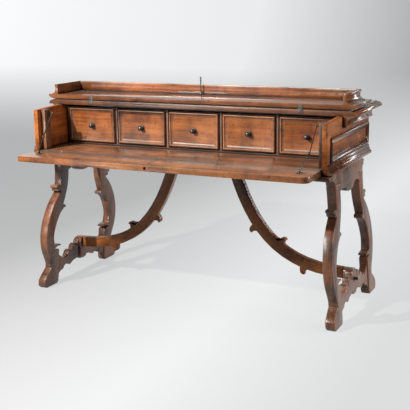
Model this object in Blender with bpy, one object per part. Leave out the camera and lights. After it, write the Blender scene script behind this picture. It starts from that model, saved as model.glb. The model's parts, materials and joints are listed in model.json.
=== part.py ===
"""A walnut writing bureau on two lyre trestles, standing open.

The rear half of the top is fixed. The front half is a lid, folded back on it upside down. The fall
lies open in front of the case as the writing surface, held by two folding iron stays. Lengths are
in metres. In the layout below, x runs to the right, y runs back from the front edges of the case's
sides and z runs up from the floor. The bureau's own origin is under the middle of its bounding box.
"""
import math

import bmesh
import bpy
from mathutils import Vector

# Case
WRITING_HEIGHT = 0.760
INNER_WIDTH = 1.518
CASE_DEPTH = 0.680
SIDE_RISE = 0.214
SIDE_THICKNESS = 0.024
SIDE_FRONT_DROP = 0.008
FLOOR_THICKNESS = 0.024
BACK_THICKNESS = 0.020
SEAT_GAP = 0.0003

# Top, lid and hinge line
TOP_THICKNESS = 0.025
TOP_END_OVERHANG = 0.0595
TOP_BACK_OVERHANG = 0.0255
NOSING_BEVEL = 0.026
NOSING_FILLET = 0.005
NOSING_STEP = 0.003
SPLIT_FROM_FRONT = 0.2232
LID_THICKNESS = 0.0238
LID_FOLD_GAP = 0.003
LID_EDGE_GAP = 0.004
SKIRT_HEIGHT = 0.0515
SKIRT_THICKNESS = 0.014
SKIRT_CLEARANCE = 0.0014
CORNICE_REACH = 0.020
CORNICE_FILLET = 0.004
CORNICE_COVE = 0.015
TORUS_HEIGHT = 0.012
TORUS_REACH = 0.004
LID_HINGE_INSET = 0.181

# Fall
FALL_THICKNESS = 0.028
FALL_FACE_GAP = 0.001
FALL_HINGE_GAP = 0.0036
FALL_END_GAP = 0.002
FALL_TOP_GAP = 0.002
FALL_CORNER_ROUND = 0.035
FALL_HINGE_INSET = 0.109
BATTEN_THICKNESS = 0.024
BATTEN_WIDTH = 0.045
BATTEN_FLUTES = 3
FLUTE_DEPTH = 0.003
BATTEN_GAP = 0.0008

# Hinges and hasp
LEAF_LENGTH = 0.024
LEAF_THICKNESS = 0.001
LEAF_WIDTH = 0.021
KNUCKLE_RADIUS = 0.0014
KNUCKLE_GAP = 0.0006
HASP_OFFSET = -0.036
HASP_LENGTH = 0.092
HASP_EYE_RADIUS = 0.005
HASP_RADIUS = 0.003
HASP_TIP_RADIUS = 0.0045
HASP_CLEARANCE = 0.002

# Mouldings on the case
BASE_MOULDING_HEIGHT = 0.046
BASE_MOULDING_REACH = 0.019
RAIL_HEIGHT = 0.026
RAIL_REACH = 0.048
RAIL_SEAT = 0.046
FRAME_WIDTH = 0.026
FRAME_RISE = 0.010
FRAME_LOW = 0.026
FRAME_HIGH = 0.138
FRAME_FRONT_MARGIN = 0.045
FRAME_BACK_MARGIN = 0.020

# Drawers
DRAWER_COUNT = 5
BANK_FRONT = 0.2645
BANK_FLOOR = 0.009
BANK_TOP = 0.012
BANK_TOP_SETBACK = 0.014
CHEEK_THICKNESS = 0.014
DIVIDER_THICKNESS = 0.010
DRAWER_GAP = 0.002
DRAWER_FRONT_THICKNESS = 0.018
DRAWER_REVEAL = 0.0035
DRAWER_FRAME_WIDTH = 0.028
DRAWER_FRAME_RISE = 0.010
DRAWER_FIELD_SET = 0.001
DRAWER_BACK_CLEARANCE = 0.0114
DRAWER_BOX_HEIGHT = 0.150
DRAWER_WALL = 0.009
KNOB_RADIUS = 0.0125
KNOB_REACH = 0.027
KNOB_RAISE = -0.003

# Trestles
TRESTLE_OUTSET = 0.026
TRESTLE_THICKNESS = 0.0465
TRESTLE_SPLAY = 0.080
TRESTLE_SETBACK = 0.038
NECK_OUTSIDE = 0.225
NECK_INSIDE = 0.155
KNEE_OUTSIDE = 0.350
KNEE_INSIDE = 0.283
ANKLE_OUTSIDE = 0.297
FOOT_OUTSIDE = 0.362
SEAM_INSIDE = 0.234
CROWN_REACH = 0.236
SPUR_REACH = 0.040
SOLE_ROUND = 0.020
ANKLE_BEAD = 0.004
EDGE_CHAMFER = 0.003
STRETCHER_THICKNESS = 0.036
BOSS_HALF_WIDTH = 0.042
BOSS_REACH = 0.012

# Braces
BRACE_TOP_SPREAD = 0.152
BRACE_HEIGHT = 0.180
BRACE_THICKNESS = 0.036
BRACE_TOP_WIDTH = 0.058
BRACE_END_WIDTH = 0.055
HOOK_LENGTH = 0.040
BOLT_HEIGHT = 0.155
BOLT_RADIUS = 0.006
BOLT_REACH = 0.022

# Stays
STAY_INSET = 0.048
STAY_BEHIND_AXIS = 0.036
STAY_HEIGHT = 0.185
STAY_FOOT_REACH = 0.129
STAY_FOOT_RISE = 0.012
STAY_FOOT_INSET = 0.070
STAY_UPPER_SHARE = 0.593
STAY_SLACK = 1.002
ELBOW_GAP = 0.0006
LUG_THICKNESS = 0.004
FOOT_PLATE = 0.026
LINK_WIDTH = 0.006
LINK_THICKNESS = 0.003
EYE_RADIUS = 0.007
STAY_PIN_RADIUS = 0.0022
PIN_CLEARANCE = 0.0003
PIN_DEPTH = 0.012

# Finishes: colour, roughness, metallic
WALNUT = ((0.27, 0.10, 0.035), 0.35, 0.0)
DARK_WALNUT = ((0.17, 0.065, 0.03), 0.38, 0.0)
DRAWER_WALNUT = ((0.38, 0.15, 0.045), 0.35, 0.0)
IRON = ((0.06, 0.055, 0.05), 0.5, 0.9)

CURVE_STEPS = 5
ROUND_SEGMENTS = 12

# Heights and depths that follow from the sizes above
case_top = WRITING_HEIGHT + SIDE_RISE
case_base = WRITING_HEIGHT - FLOOR_THICKNESS
top_surface = case_top + SEAT_GAP + TOP_THICKNESS
trestle_height = case_base - SEAT_GAP
inner_half = INNER_WIDTH / 2
outer_half = inner_half + SIDE_THICKNESS
trestle_spread = inner_half + TRESTLE_OUTSET
stay_spread = inner_half - STAY_INSET
stay_foot_spread = inner_half - STAY_FOOT_INSET
fall_axis_y = FALL_THICKNESS + FALL_FACE_GAP
lid_axis_y = SPLIT_FROM_FRONT - LID_EDGE_GAP / 2
lid_axis_z = top_surface + LID_FOLD_GAP / 2
lid_underside = top_surface - LID_THICKNESS
fall_depth = lid_underside - FALL_TOP_GAP - WRITING_HEIGHT - FALL_HINGE_GAP / 2
fall_front = fall_axis_y - FALL_HINGE_GAP / 2 - fall_depth
top_back = CASE_DEPTH + TOP_BACK_OVERHANG
trestle_centre = CASE_DEPTH / 2 + TRESTLE_SETBACK
stay_pivot = (fall_axis_y + STAY_BEHIND_AXIS, WRITING_HEIGHT + STAY_HEIGHT)
middle_y = (fall_front + max(top_back, trestle_centre + FOOT_OUTSIDE)) / 2


def empty_scene():
    for item in list(bpy.data.objects):
        bpy.data.objects.remove(item)


def pivot(name, place, parent=None, turn=0.0):
    """An empty on a joint's axis, turned about x."""
    marker = bpy.data.objects.new(name, None)
    bpy.context.scene.collection.objects.link(marker)
    marker.location = place
    marker.rotation_euler.x = turn
    marker.parent = parent
    return marker


def finish_object(name, bm, finish, parent, place=(0, 0, 0), turn=0.0):
    """Turns a bmesh into a named object with a material of its own."""
    bmesh.ops.recalc_face_normals(bm, faces=bm.faces)
    mesh = bpy.data.meshes.new(name)
    bm.to_mesh(mesh)
    bm.free()
    piece = bpy.data.objects.new(name, mesh)
    bpy.context.scene.collection.objects.link(piece)
    piece.parent = parent
    piece.location = place
    piece.rotation_euler.x = turn
    colour, roughness, metallic = finish
    material = bpy.data.materials.new(name)
    material.use_nodes = True
    shader = material.node_tree.nodes["Principled BSDF"]
    shader.inputs["Base Color"].default_value = (*colour, 1)
    shader.inputs["Roughness"].default_value = roughness
    shader.inputs["Metallic"].default_value = metallic
    mesh.materials.append(material)
    return piece


def loft(bm, rings, closed=False):
    """Skins a run of point rings of equal length, and caps both ends or joins the last to the first."""
    loops = [[bm.verts.new(point) for point in ring] for ring in rings]
    nexts = loops[1:] + loops[:1] if closed else loops[1:]
    for low, high in zip(loops, nexts):
        for i in range(len(low)):
            j = (i + 1) % len(low)
            bm.faces.new((low[i], low[j], high[j], high[i]))
    if not closed:
        bm.faces.new(list(reversed(loops[0])))
        bm.faces.new(loops[-1])


def box(name, low, high, finish, parent):
    bm = bmesh.new()
    bmesh.ops.create_cube(bm, size=1)
    size = Vector(high) - Vector(low)
    bmesh.ops.scale(bm, vec=size, verts=bm.verts)
    bmesh.ops.translate(bm, vec=(Vector(high) + Vector(low)) / 2, verts=bm.verts)
    return finish_object(name, bm, finish, parent)


def prism(name, outline, start, end, axis, finish, parent, **placing):
    """Extrudes a flat outline along an axis; the outline's two numbers are the other two axes."""
    slots = [k for k in range(3) if k != axis]
    rings = []
    for level in (start, end):
        ring = []
        for a, b in outline:
            point = [0, 0, 0]
            point[axis] = level
            point[slots[0]] = a
            point[slots[1]] = b
            ring.append(point)
        rings.append(ring)
    bm = bmesh.new()
    loft(bm, rings)
    return finish_object(name, bm, finish, parent, **placing)


def turned(name, profile, along, finish, parent, place):
    """Spins (radius, distance) points about a line through place."""
    bm = bmesh.new()
    direction = Vector(along).normalized()
    side = direction.orthogonal().normalized()
    verts = [bm.verts.new(side * radius + direction * run) for radius, run in profile]
    edges = [bm.edges.new(pair) for pair in zip(verts, verts[1:])]
    bmesh.ops.spin(bm, geom=verts + edges, cent=(0, 0, 0), axis=direction,
                   angle=math.tau, steps=ROUND_SEGMENTS)
    bmesh.ops.remove_doubles(bm, verts=bm.verts, dist=0.00001)
    piece = finish_object(name, bm, finish, parent, place)
    piece.data.shade_smooth()
    piece.data.set_sharp_from_angle(angle=math.radians(40))
    return piece


def combine(piece, tool, operation):
    """A Boolean of the piece with a hidden tool."""
    tool.hide_render = True
    tool.display_type = "WIRE"
    modifier = piece.modifiers.new(tool.name, "BOOLEAN")
    modifier.operation = operation
    modifier.solver = "EXACT"
    modifier.object = tool


def arc(centre, radius, first, last, steps=CURVE_STEPS):
    """Points on an arc, in degrees; radius is one number or a pair of half axes."""
    wide, high = radius if isinstance(radius, tuple) else (radius, radius)
    points = []
    for i in range(steps + 1):
        angle = math.radians(first + (last - first) * i / steps)
        points.append((centre[0] + wide * math.cos(angle), centre[1] + high * math.sin(angle)))
    return points


def smooth(stations, steps=3):
    """A curve through the stations (Catmull-Rom), without its last point."""
    padded = [stations[0], *stations, stations[-1]]
    points = []
    for p0, p1, p2, p3 in zip(padded, padded[1:], padded[2:], padded[3:]):
        for i in range(steps):
            t = i / steps
            points.append(tuple(
                0.5 * (2 * b + (c - a) * t + (2 * a - 5 * b + 4 * c - d) * t ** 2
                       + (3 * b - a - 3 * c + d) * t ** 3)
                for a, b, c, d in zip(p0, p1, p2, p3)))
    return points


def inset(outline, amount):
    """Moves a closed outline inwards by the same amount all round."""
    area = sum(a[0] * b[1] - b[0] * a[1] for a, b in zip(outline, outline[1:] + outline[:1]))
    inward = 1 if area > 0 else -1
    moved = []
    for i, (x, y) in enumerate(outline):
        back = Vector((x, y)) - Vector(outline[i - 1])
        ahead = Vector(outline[(i + 1) % len(outline)]) - Vector((x, y))
        normals = [inward * Vector((-v.y, v.x)).normalized() for v in (back, ahead)]
        mitre = (normals[0] + normals[1]) / max(0.6, 1 + normals[0].dot(normals[1]))
        moved.append((x + mitre.x * amount, y + mitre.y * amount))
    return moved


def shaped_plank(name, outline, place, thickness, finish, parent):
    """A plank with chamfered edges; place(a, b, depth) gives a point of the plank."""
    slim = inset(outline, EDGE_CHAMFER)
    steps = ((slim, 0), (outline, EDGE_CHAMFER), (outline, thickness - EDGE_CHAMFER), (slim, thickness))
    bm = bmesh.new()
    loft(bm, [[place(a, b, depth) for a, b in ring] for ring, depth in steps])
    return finish_object(name, bm, finish, parent)


def hook(base, out, along, reach, height):
    """A small carved spur: it swells out of an edge and is cut back under its tip."""
    base, out, along = Vector(base), Vector(out), Vector(along)
    shape = ((0.0, 0.0), (0.45, 0.10), (0.85, 0.28), (1.0, 0.55), (0.92, 0.86), (0.62, 0.72),
             (0.40, 0.80), (0.0, 1.0))
    return [tuple(base + out * (reach * o) + along * (height * a)) for o, a in shape]


def cuff(base, out, along, reach, height):
    """A moulded collar: two rolls, the upper one longer."""
    base, out, along = Vector(base), Vector(out), Vector(along)
    shape = ((0.0, 0.0), (0.9, 0.02), (1.0, 0.14), (1.0, 0.34), (0.88, 0.48), (0.62, 0.52), (0.66, 0.60),
             (0.66, 0.86), (0.50, 1.0), (0.0, 1.0))
    return [tuple(base + out * (reach * o) + along * (height * a)) for o, a in shape]


def lift(share):
    """A height on the trestle, as a share of the trestle's own height."""
    return trestle_height * share


def leg_outline():
    """The lyre leg, as (reach from the trestle's middle, height), from the top down and back up."""
    down = (0, -1)
    spur_height = lift(0.036)
    upper = smooth([(NECK_OUTSIDE + 0.005, lift(0.895)), (NECK_OUTSIDE, lift(0.83)),
                    (NECK_OUTSIDE, lift(0.765))])
    outer_cuff = cuff((NECK_OUTSIDE, lift(0.752)), (1, 0), down, SPUR_REACH, spur_height * 1.4)
    shin = KNEE_OUTSIDE - NECK_OUTSIDE
    outer = smooth([
        (NECK_OUTSIDE + 0.06 * shin, lift(0.692)), (NECK_OUTSIDE + 0.50 * shin, lift(0.615)),
        (NECK_OUTSIDE + 0.85 * shin, lift(0.508)), (KNEE_OUTSIDE, lift(0.400)),
        (KNEE_OUTSIDE - 0.008, lift(0.295)), (ANKLE_OUTSIDE + 0.012, lift(0.196)),
        (ANKLE_OUTSIDE, lift(0.156))])
    outer += [(ANKLE_OUTSIDE + ANKLE_BEAD, lift(0.154)), (ANKLE_OUTSIDE + ANKLE_BEAD, lift(0.142))]
    foot = smooth([(ANKLE_OUTSIDE + 0.001, lift(0.140)), (FOOT_OUTSIDE - 0.022, lift(0.092)),
                   (FOOT_OUTSIDE, lift(0.055)), (FOOT_OUTSIDE - 0.002, lift(0.020)),
                   (FOOT_OUTSIDE - SOLE_ROUND, 0)])
    outer += [(min(reach, FOOT_OUTSIDE), height) for reach, height in foot]
    sole = [(FOOT_OUTSIDE - SOLE_ROUND, 0), (SEAM_INSIDE + 0.014, 0), (SEAM_INSIDE + 0.003, lift(0.016)),
            (SEAM_INSIDE, lift(0.052))]
    calf = KNEE_INSIDE - NECK_INSIDE
    heel = [(SEAM_INSIDE, lift(0.262))]
    inner_low = smooth([(KNEE_INSIDE - 0.006, lift(0.318)), (KNEE_INSIDE, lift(0.385)),
                        (NECK_INSIDE + 0.80 * calf, lift(0.475)), (NECK_INSIDE + 0.50 * calf, lift(0.552))])
    thorn = hook((NECK_INSIDE + 0.36 * calf, lift(0.596)), (-1, 0), down, SPUR_REACH * 0.6, spur_height)
    thorn.reverse()
    low_spur = hook((KNEE_INSIDE - 0.010, lift(0.306)), (-1, 0), down, SPUR_REACH * 1.4, spur_height * 0.7)
    low_spur.reverse()
    inner_high = smooth([(NECK_INSIDE + 0.24 * calf, lift(0.640)), (NECK_INSIDE + 0.08 * calf, lift(0.715)),
                         (NECK_INSIDE, lift(0.800))])
    end = [(NECK_INSIDE, lift(0.895))]
    return upper + outer_cuff + outer + sole + heel + low_spur + inner_low + thorn + inner_high + end


def crown_outline():
    """The board that ties the legs at the top: it fills the space between the necks, with a drop."""
    seat = lift(0.895) + SEAT_GAP
    shoulder = NECK_INSIDE - SEAT_GAP
    lower_edge = lift(0.846)
    half = [(CROWN_REACH, trestle_height), (CROWN_REACH, lift(0.970))]
    half += cuff((CROWN_REACH, lift(0.968)), (1, 0), (0, -1), SPUR_REACH * 0.7, lift(0.045))
    half += arc((CROWN_REACH, seat), (CROWN_REACH - NECK_OUTSIDE - 0.006, lift(0.022)), 90, 180, 3)
    half += [(shoulder, seat), (shoulder, lower_edge)]
    half += arc((NECK_INSIDE * 0.72, lower_edge), (NECK_INSIDE * 0.22, lift(0.010)), 10, 170, 3)
    half += arc((0, lower_edge), (NECK_INSIDE * 0.46, lift(0.035)), 0, -90, 4)
    return mirrored(half)


def stretcher_outline():
    """The cross stretcher: stepped scrolls that climb to a boss, and a scalloped lower edge."""
    seam = SEAM_INSIDE - SEAT_GAP
    run = seam - BOSS_HALF_WIDTH
    half = arc((0, lift(0.252)), (BOSS_HALF_WIDTH, lift(0.030)), 90, 0, 3)
    for near, far, level in ((0.0, 0.26, 0.222), (0.26, 0.52, 0.190)):
        middle = BOSS_HALF_WIDTH + run * (near + far) / 2
        half += arc((middle, lift(level)), (run * (far - near) / 2.2, lift(0.026)), 170, 0, 4)
    half += [(BOSS_HALF_WIDTH + run * 0.56, lift(0.172)), (BOSS_HALF_WIDTH + run * 0.80, lift(0.178)),
             (seam - 0.016, lift(0.206)), (seam, lift(0.214))]
    half += [(seam, lift(0.050)), (seam - run * 0.06, lift(0.070)), (seam - run * 0.15, lift(0.082)),
             (seam - run * 0.27, lift(0.086))]
    half += arc((BOSS_HALF_WIDTH + run * 0.56, lift(0.094)), (run * 0.16, lift(0.022)), 20, 175, 3)
    half += [(BOSS_HALF_WIDTH + run * 0.24, lift(0.116)), (BOSS_HALF_WIDTH + 0.004, lift(0.124))]
    half += arc((0, lift(0.140)), (BOSS_HALF_WIDTH, lift(0.036)), 0, -90, 4)
    return mirrored(half)


def mirrored(half):
    """Closes a half outline with its mirror image; points on the axis aren't doubled."""
    return half + [(-a, b) for a, b in reversed(half) if abs(a) > 1e-9]


def trestle(side, word, root):
    """One splayed lyre trestle; side is 1 on the right and -1 on the left."""

    def plank_point(offset):
        def place(reach, height, depth):
            x = trestle_spread + offset + depth - TRESTLE_SPLAY * height
            return (side * x, trestle_centre + reach, height)
        return place

    def front_point(reach, height, depth):
        return plank_point(0)(-reach, height, depth)

    leg = leg_outline()
    shaped_plank(word + "_front_leg", leg, front_point, TRESTLE_THICKNESS, WALNUT, root)
    shaped_plank(word + "_rear_leg", leg, plank_point(0), TRESTLE_THICKNESS, WALNUT, root)
    shaped_plank(word + "_crown", crown_outline(), plank_point(0), TRESTLE_THICKNESS, WALNUT, root)
    inner_offset = (TRESTLE_THICKNESS - STRETCHER_THICKNESS) / 2
    bar = shaped_plank(word + "_stretcher", stretcher_outline(), plank_point(inner_offset),
                       STRETCHER_THICKNESS, WALNUT, root)
    boss_low = lift(0.140)
    boss_high = lift(0.284)
    rim = arc((0, boss_low), (BOSS_HALF_WIDTH * 0.8, lift(0.030)), 180, 360, 6)
    rim += arc((0, boss_high - lift(0.026)), (BOSS_HALF_WIDTH * 0.8, lift(0.026)), 0, 180, 6)
    boss = shaped_plank(word + "_boss_tool", rim, plank_point(inner_offset - BOSS_REACH),
                        BOSS_REACH + STRETCHER_THICKNESS / 2, WALNUT, root)
    combine(bar, boss, "UNION")
    outside = trestle_spread + inner_offset + STRETCHER_THICKNESS + SEAT_GAP - TRESTLE_SPLAY * BOLT_HEIGHT
    ball = BOLT_RADIUS * 1.5
    shape = [(0, 0), (BOLT_RADIUS * 1.9, 0), (BOLT_RADIUS * 1.9, 0.003), (BOLT_RADIUS, 0.004)]
    shape += [(r, BOLT_REACH - ball + run) for r, run in arc((0, 0), ball, -48, 90, 5)]
    turned(word + "_brace_bolt", shape, (side, 0, TRESTLE_SPLAY), IRON, root,
           (side * outside, trestle_centre, BOLT_HEIGHT))


def brace_curve(t):
    """The brace's centre line and its direction, from under the case (t = 0) to the boss (t = 1)."""
    boss_face = trestle_spread + (TRESTLE_THICKNESS - STRETCHER_THICKNESS) / 2 - BOSS_REACH
    end_x = boss_face - TRESTLE_SPLAY * BRACE_HEIGHT
    fall = case_base - BRACE_HEIGHT
    points = [Vector((BRACE_TOP_SPREAD, case_base)),
              Vector((BRACE_TOP_SPREAD + 0.165 * (end_x - BRACE_TOP_SPREAD), BRACE_HEIGHT + 0.348 * fall)),
              Vector((BRACE_TOP_SPREAD + 0.418 * (end_x - BRACE_TOP_SPREAD), BRACE_HEIGHT)),
              Vector((end_x, BRACE_HEIGHT))]
    weights = ((1 - t) ** 3, 3 * t * (1 - t) ** 2, 3 * t ** 2 * (1 - t), t ** 3)
    here = sum((p * w for p, w in zip(points, weights)), Vector((0, 0)))
    slopes = ((1 - t) ** 2, 2 * t * (1 - t), t ** 2)
    ahead = sum(((b - a) * w for a, b, w in zip(points, points[1:], slopes)), Vector((0, 0)))
    return here, ahead.normalized()


def brace(side, word, root):
    """A curved plank with three carved hooks, from the stretcher's boss up to the case floor."""
    samples = 14
    hooks_under = (0.38, 0.765)
    hooks_over = (0.56,)

    def edge(sign, hooks):
        points = []
        for i in range(samples + 1):
            t = i / samples
            here, ahead = brace_curve(t)
            out = Vector((-ahead.y, ahead.x)) * sign
            half = (BRACE_TOP_WIDTH + (BRACE_END_WIDTH - BRACE_TOP_WIDTH) * t) / 2
            points.append(tuple(here + out * half))
            for spot in hooks:
                if t < spot <= t + 1 / samples:
                    here, ahead = brace_curve(spot)
                    out = Vector((-ahead.y, ahead.x)) * sign
                    base = here + out * half
                    points += hook(base, out, ahead, SPUR_REACH * 0.8, HOOK_LENGTH)
        return points

    over = edge(1, hooks_over)
    under = edge(-1, hooks_under)
    outline = over + list(reversed(under))
    seat = case_base - SEAT_GAP
    boss_face = trestle_spread + (TRESTLE_THICKNESS - STRETCHER_THICKNESS) / 2 - BOSS_REACH - SEAT_GAP
    trimmed = []
    for x, z in outline:
        z = min(z, seat)
        x = min(x, boss_face - TRESTLE_SPLAY * z)
        trimmed.append((x, z))

    def place(x, z, depth):
        return (side * x, trestle_centre - BRACE_THICKNESS / 2 + depth, z)

    shaped_plank(word + "_brace", trimmed, place, BRACE_THICKNESS, WALNUT, root)


def nosing(half, top, thickness):
    """The moulded edge of the top, as (reach, height): a small step, then a quarter round."""
    centre = (half - NOSING_BEVEL, top - thickness + NOSING_FILLET)
    edge = [(half - NOSING_BEVEL, top)]
    edge += arc(centre, (NOSING_BEVEL, thickness - NOSING_FILLET - NOSING_STEP), 90, 0)
    return edge + [(half, top - thickness)]


def cornice(foot):
    """The moulding below the top, as (reach, drop): fillet, cove, plain band and torus."""
    wide = foot + CORNICE_REACH
    cove_low = CORNICE_FILLET + CORNICE_COVE
    band_low = SKIRT_HEIGHT - TORUS_HEIGHT
    edge = [(wide, 0), (wide, CORNICE_FILLET)]
    edge += arc((wide, cove_low), (CORNICE_REACH - 0.002, CORNICE_COVE), 270, 180, 4)
    edge += [(foot, cove_low), (foot, band_low)]
    return edge + arc((foot, band_low + TORUS_HEIGHT / 2), (TORUS_REACH, TORUS_HEIGHT / 2), -80, 90)


def rectangle(low, high, margin, plane, level):
    """Four corners of a rectangle moved in by a margin, in the plane across one axis."""
    slots = [k for k in range(3) if k != plane]
    corners = []
    for a, b in ((0, 0), (1, 0), (1, 1), (0, 1)):
        point = [level, level, level]
        point[slots[0]] = (low[0] + margin, high[0] - margin)[a]
        point[slots[1]] = (low[1] + margin, high[1] - margin)[b]
        corners.append(point)
    return corners


def hinge_leaf(name, side, x, knuckle_x, parent, place):
    """A thin plate hanging beside the hinge axis, with one knuckle; side is the plate's side in y."""
    near = side * (KNUCKLE_RADIUS - LEAF_THICKNESS)
    far = side * KNUCKLE_RADIUS
    plate_top = -KNUCKLE_RADIUS - KNUCKLE_GAP
    plate = [(near, plate_top), (far, plate_top), (far, -LEAF_WIDTH), (near, -LEAF_WIDTH)]
    leaf = prism(name, plate, x - LEAF_LENGTH / 2, x + LEAF_LENGTH / 2, 0, IRON, parent, place=place)
    inner = near + side * LEAF_THICKNESS * 0.1
    outer = far - side * LEAF_THICKNESS * 0.1
    turn = math.degrees(math.acos(outer / KNUCKLE_RADIUS)), math.degrees(math.acos(inner / KNUCKLE_RADIUS))
    stem = [(inner, plate_top - LEAF_WIDTH / 4), (outer, plate_top - LEAF_WIDTH / 4)]
    stem += arc((0, 0), KNUCKLE_RADIUS, -turn[0], side * 360 - turn[1], ROUND_SEGMENTS)
    low, high = knuckle_x
    combine(leaf, prism(name + "_tool", stem, low, high, 0, IRON, parent, place=place), "UNION")
    return leaf


def hinge(name, x, fixed, fixed_place, moving, moving_place):
    """Two leaves whose knuckles stand side by side on the axis."""
    half = LEAF_LENGTH / 2
    hinge_leaf(name + "_fixed_leaf", 1, x, (x - half, x - KNUCKLE_GAP / 2), fixed, fixed_place)
    hinge_leaf(name + "_moving_leaf", -1, x, (x + KNUCKLE_GAP / 2, x + half), moving, moving_place)


def case(root):
    """The floor, sides, back, mouldings and stop battens of the case."""
    wide = inner_half - SEAT_GAP
    floor_front = fall_axis_y + FALL_HINGE_GAP / 2
    back_face = CASE_DEPTH - BACK_THICKNESS
    box("case_floor", (-wide, floor_front, case_base), (wide, back_face - SEAT_GAP, WRITING_HEIGHT),
        DARK_WALNUT, root)
    box("case_back", (-wide, back_face, case_base), (wide, CASE_DEPTH, case_top), DARK_WALNUT, root)

    rail_top = WRITING_HEIGHT - FALL_THICKNESS - FALL_FACE_GAP
    rail_low = case_base - SEAT_GAP - RAIL_HEIGHT
    rail_front = fall_axis_y - RAIL_REACH
    rail = arc((rail_front + RAIL_HEIGHT / 3, (rail_top + rail_low) / 2),
               (RAIL_HEIGHT / 3, (rail_top - rail_low) / 2), 270, 90)
    rail += [(fall_axis_y, rail_top), (fall_axis_y, case_base - SEAT_GAP)]
    rail += [(fall_axis_y + RAIL_SEAT, case_base - SEAT_GAP), (fall_axis_y + RAIL_SEAT, rail_low)]
    rail_half = outer_half + BASE_MOULDING_REACH
    prism("front_base_rail", rail, -rail_half, rail_half, 0, DARK_WALNUT, root)

    for side, word in ((-1, "left"), (1, "right")):
        panel = [(0, case_base), (CASE_DEPTH, case_base), (CASE_DEPTH, case_top),
                 (SPLIT_FROM_FRONT, case_top), (0, case_top - SIDE_FRONT_DROP)]
        prism(word + "_side", panel, side * inner_half, side * outer_half, 0, WALNUT, root)

        face = outer_half + SEAT_GAP
        reach, tall = BASE_MOULDING_REACH, BASE_MOULDING_HEIGHT
        ogee = [(0, 0), (reach, 0), (reach, tall * 0.22)]
        ogee += arc((reach, tall * 0.60), (reach * 0.55, tall * 0.34), 270, 180, 3)
        ogee += [(reach * 0.32, tall * 0.62)]
        ogee += arc((0, tall * 0.66), (reach * 0.32, tall * 0.34), 0, 90, 3)
        base = [(side * (face + out), case_base + up) for out, up in ogee]
        prism(word + "_base_moulding", base, 0, CASE_DEPTH, 1, WALNUT, root)

        low = (FRAME_FRONT_MARGIN, WRITING_HEIGHT + FRAME_LOW)
        high = (CASE_DEPTH - FRAME_BACK_MARGIN, WRITING_HEIGHT + FRAME_HIGH)
        shape = ((0, 0), (0, 0.6), (0.10, 0.95), (0.35, 1.0), (0.45, 0.62), (0.60, 0.58), (0.90, 0.30),
                 (1.0, 0.28), (1.0, 0))
        rings = [rectangle(low, high, FRAME_WIDTH * across, 0, side * (face + FRAME_RISE * rise))
                 for across, rise in shape]
        bm = bmesh.new()
        loft(bm, rings, closed=True)
        finish_object(word + "_panel_moulding", bm, WALNUT, root)

        skirt_face = outer_half + SKIRT_CLEARANCE
        frieze = [(face, case_top)]
        frieze += [(skirt_face + out, case_top - drop) for out, drop in cornice(SKIRT_THICKNESS)]
        frieze += [(face, case_top - SKIRT_HEIGHT)]
        frieze = [(side * x, z) for x, z in frieze]
        prism(word + "_frieze", frieze, SPLIT_FROM_FRONT, CASE_DEPTH, 1, WALNUT, root)

        batten_front = fall_axis_y + BATTEN_GAP
        inner = wide - BATTEN_THICKNESS
        pitch = BATTEN_WIDTH / BATTEN_FLUTES
        flutes = []
        for i in range(BATTEN_FLUTES):
            middle = batten_front + pitch * (i + 0.5)
            flutes += arc((inner, middle), (FLUTE_DEPTH, pitch * 0.38), -90, 90, 4)
        batten = [(wide, batten_front + BATTEN_WIDTH), (wide, batten_front), (inner, batten_front), *flutes,
                  (inner, batten_front + BATTEN_WIDTH)]
        post = prism(word + "_stop_batten", [(side * x, y) for x, y in batten], WRITING_HEIGHT + SEAT_GAP,
                     case_top - SIDE_FRONT_DROP, 2, WALNUT, root)
        bore = arc((stay_pivot[0], stay_pivot[1]), STAY_PIN_RADIUS + PIN_CLEARANCE, 0, 330, 11)
        depth = inner + FLUTE_DEPTH + PIN_DEPTH + PIN_CLEARANCE
        combine(post, prism(word + "_bore_tool", bore, side * (inner - 0.01), side * depth, 0, IRON, root),
                "DIFFERENCE")


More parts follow.
